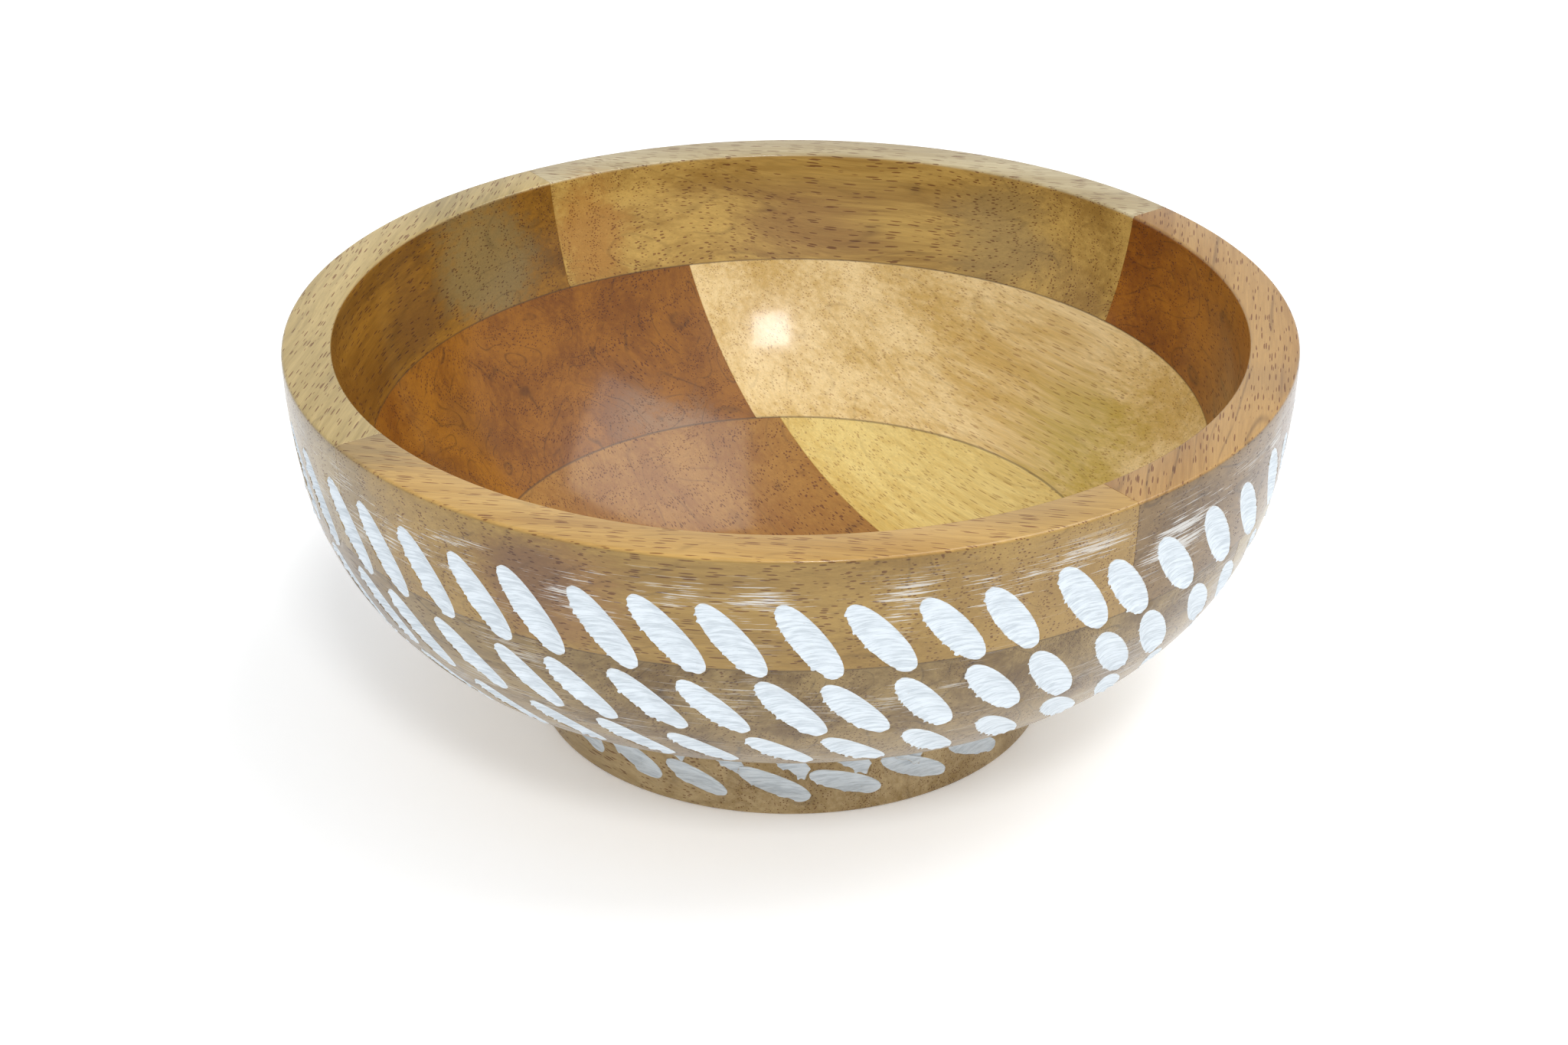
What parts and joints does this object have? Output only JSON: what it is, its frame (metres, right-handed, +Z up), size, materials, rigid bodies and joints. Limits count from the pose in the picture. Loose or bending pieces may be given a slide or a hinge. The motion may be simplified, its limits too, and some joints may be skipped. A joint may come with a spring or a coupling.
{
  "type": "carved wooden bowl",
  "caption": "Round footed wooden bowl turned from glued boards, its outside gouged all round with slanting rows of white-painted leaf-shaped cuts.",
  "frame": {"origin": "centre of the ring under the foot that the bowl rests on", "axes": "+Z up the bowl's own axis; -Y is the front, where the front ring board is; +X is to the right seen from the front"},
  "size_m": [0.254, 0.254, 0.105],
  "materials": {
    "front_board_wood": "olive-gold mango wood with dark pores, clear satin lacquer",
    "right_board_wood": "grey-brown mango wood with a purple-brown streak, clear satin lacquer",
    "back_board_wood": "tan mango wood, clear satin lacquer",
    "left_board_wood": "khaki mango wood, clear satin lacquer",
    "middle_wide_wood": "orange-brown curly mango wood, clear satin lacquer",
    "middle_narrow_wood": "cream to yellow mango wood, clear satin lacquer",
    "base_wide_wood": "golden tan mango wood, clear satin lacquer",
    "base_narrow_wood": "pale yellow mango wood, clear satin lacquer",
    "white_paint": "thick matt white paint over torn wood fibres"
  },
  "bodies": {
    "root": {"ring_board_front": "front_board_wood", "ring_board_right": "right_board_wood", "ring_board_back": "back_board_wood", "ring_board_left": "left_board_wood", "middle_board_wide": "middle_wide_wood", "middle_board_narrow": "middle_narrow_wood", "base_board_wide": "base_wide_wood", "base_board_narrow": "base_narrow_wood", "paint_row_one": "white_paint", "paint_row_two": "white_paint", "paint_row_three": "white_paint", "paint_row_four": "white_paint", "paint_row_five": "white_paint", "paint_row_six": "white_paint"}
  },
  "joints": []
}
